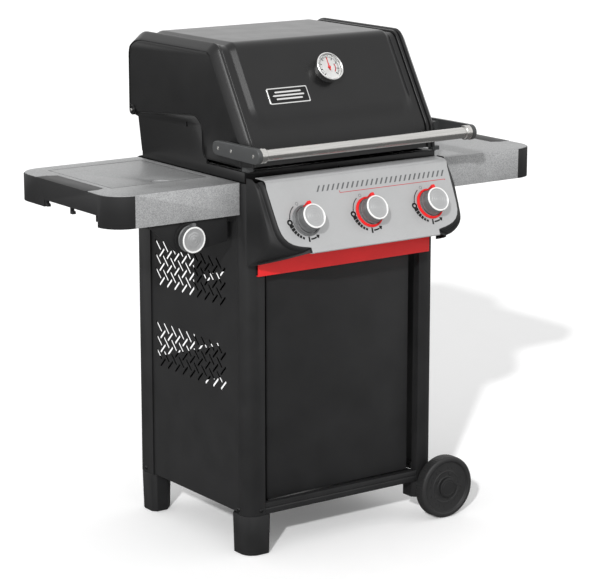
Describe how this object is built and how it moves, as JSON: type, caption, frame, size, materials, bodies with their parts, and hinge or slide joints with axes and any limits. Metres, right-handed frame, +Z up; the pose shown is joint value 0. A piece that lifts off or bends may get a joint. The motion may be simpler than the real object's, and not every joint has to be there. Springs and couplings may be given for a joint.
{
  "type": "gas barbecue grill",
  "caption": "Gas barbecue on a wheeled cabinet cart: hinged lid with tube handle and thermometer, sloped panel with knobs, side shelves, covered side burner, door, slide-out grease tray.",
  "frame": {"origin": "on the ground, under the middle of the whole outline, lid closed", "axes": "+X towards the shelf on the right of a person standing in front, +Y towards the back, +Z up; the control panel faces -Y"},
  "size_m": [1.3, 0.7113, 1.262],
  "materials": {
    "black_paint": "satin black powder coat with a fine grain",
    "black_enamel": "smooth black porcelain enamel with a soft gloss",
    "silver_paint": "smooth silver grey paint with a fine metallic flake",
    "shelf_steel": "silver grey hammered paint, finely speckled",
    "red_paint": "satin red paint",
    "stainless": "brushed stainless steel",
    "cast_iron": "matt enamelled cast iron",
    "black_plastic": "lightly grained black moulded plastic",
    "red_plastic": "satin red moulded plastic",
    "grey_plastic": "silver grey moulded plastic",
    "bracket_grey": "grey metallic painted die casting",
    "wheel_plastic": "hard black moulded plastic with fine tread ribs",
    "brass": "turned brass, lightly dulled",
    "plate_metal": "satin aluminium plate with a dark border"
  },
  "bodies": {
    "cart": {"post_front_left": "black_paint", "foot_front_left": "black_plastic", "post_front_right": "black_paint", "wheel_bracket_front_right": "black_plastic", "post_rear_left": "black_paint", "foot_rear_left": "black_plastic", "post_rear_right": "black_paint", "wheel_bracket_rear_right": "black_plastic", "side_panel_left": "black_paint", "side_panel_right": "black_paint", "front_bottom_rail": "black_paint", "rear_lower_rail": "black_paint", "front_top_rail": "red_paint", "rear_shield": "black_paint", "bottom_shelf": "black_paint", "axle_front": "black_plastic", "axle_rear": "black_plastic", "cookbox": "black_enamel", "lid_hinge_rod": "stainless", "cooking_grate_left": "cast_iron", "cooking_grate_right": "cast_iron", "flavour_bars": "stainless", "burner_set": "stainless", "warming_rack": "stainless", "left_shelf": "shelf_steel", "left_shelf_end_cap": "black_plastic", "right_shelf": "shelf_steel", "right_shelf_end_cap": "black_plastic", "side_burner": "cast_iron", "side_burner_bracket": "black_plastic", "control_panel": "silver_paint", "gas_manifold": "brass", "bezel_left": "grey_plastic", "bezel_centre": "red_plastic", "bezel_right": "red_plastic", "control_cap_left": "black_plastic", "control_cap_right": "black_plastic"},
    "lid": {"lid_shroud": "black_enamel", "lid_end_cap_left": "black_enamel", "lid_end_cap_right": "black_enamel", "handle_tube": "stainless", "handle_bracket_left": "bracket_grey", "handle_bracket_right": "bracket_grey", "thermometer": "stainless", "name_plate": "plate_metal"},
    "needle": {"thermometer_needle": "red_plastic"},
    "door": {"door": "black_paint"},
    "wheel_front": {"wheel_front": "wheel_plastic"},
    "wheel_rear": {"wheel_rear": "wheel_plastic"},
    "valve_left": {"valve_stem_left": "brass"},
    "valve_centre": {"valve_stem_centre": "brass"},
    "valve_right": {"valve_stem_right": "brass"},
    "valve_side": {"side_valve_stem": "brass"},
    "knob_left": {"knob_left": "grey_plastic"},
    "knob_centre": {"knob_centre": "grey_plastic"},
    "knob_right": {"knob_right": "grey_plastic"},
    "knob_side": {"side_knob": "grey_plastic"},
    "side_cover": {"side_burner_cover": "shelf_steel"},
    "grease_tray": {"grease_tray": "stainless", "catch_pan": "stainless"}
  },
  "joints": [
    {"name": "lid_hinge", "type": "hinge", "parent": "cart", "child": "lid", "pos_m": [0, 0.3046, 1.059], "axis": [-1, 0, 0], "range_deg": [0, 78]},
    {"name": "thermometer_needle_turn", "type": "hinge", "parent": "lid", "child": "needle", "pos_m": [0.0106, -0.11039, 1.181], "axis": [0, 0.8562, -0.5167], "range_deg": [0, 230]},
    {"name": "door_hinge", "type": "hinge", "parent": "cart", "child": "door", "pos_m": [-0.212, -0.1714, 0.42], "axis": [0, 0, -1], "range_deg": [0, 110]},
    {"name": "wheel_front_spin", "type": "hinge", "parent": "cart", "child": "wheel_front", "pos_m": [0.311, -0.2249, 0.082], "axis": [0, -1, 0], "continuous": true},
    {"name": "wheel_rear_spin", "type": "hinge", "parent": "cart", "child": "wheel_rear", "pos_m": [0.311, 0.3341, 0.082], "axis": [0, -1, 0], "continuous": true},
    {"name": "valve_turn_left", "type": "hinge", "parent": "cart", "child": "valve_left", "pos_m": [-0.188, -0.3064, 0.856], "axis": [0, -0.8902, 0.4555], "range_deg": [0, 220]},
    {"name": "knob_push_left", "type": "slide", "parent": "valve_left", "child": "knob_left", "axis": [0, 0.8902, -0.4555], "range_m": [0, 0.004], "stiffness_N_per_m": 800, "springref_m": -0.001},
    {"name": "valve_turn_centre", "type": "hinge", "parent": "cart", "child": "valve_centre", "pos_m": [0, -0.3064, 0.856], "axis": [0, -0.8902, 0.4555], "range_deg": [0, 220]},
    {"name": "knob_push_centre", "type": "slide", "parent": "valve_centre", "child": "knob_centre", "axis": [0, 0.8902, -0.4555], "range_m": [0, 0.004], "stiffness_N_per_m": 800, "springref_m": -0.001},
    {"name": "valve_turn_right", "type": "hinge", "parent": "cart", "child": "valve_right", "pos_m": [0.188, -0.3064, 0.856], "axis": [0, -0.8902, 0.4555], "range_deg": [0, 220]},
    {"name": "knob_push_right", "type": "slide", "parent": "valve_right", "child": "knob_right", "axis": [0, 0.8902, -0.4555], "range_m": [0, 0.004], "stiffness_N_per_m": 800, "springref_m": -0.001},
    {"name": "valve_turn_side", "type": "hinge", "parent": "cart", "child": "valve_side", "pos_m": [-0.436, -0.1754, 0.82], "axis": [0, -1, 0], "range_deg": [0, 220]},
    {"name": "knob_push_side", "type": "slide", "parent": "valve_side", "child": "knob_side", "axis": [0, 1, 0], "range_m": [0, 0.004], "stiffness_N_per_m": 800, "springref_m": -0.001},
    {"name": "side_cover_hinge", "type": "hinge", "parent": "cart", "child": "side_cover", "pos_m": [-0.448, 0.2366, 0.941], "axis": [-1, 0, 0], "range_deg": [0, 92]},
    {"name": "grease_tray_slide", "type": "slide", "parent": "cart", "child": "grease_tray", "axis": [0, 1, 0], "range_m": [0, 0.3]}
  ]
}
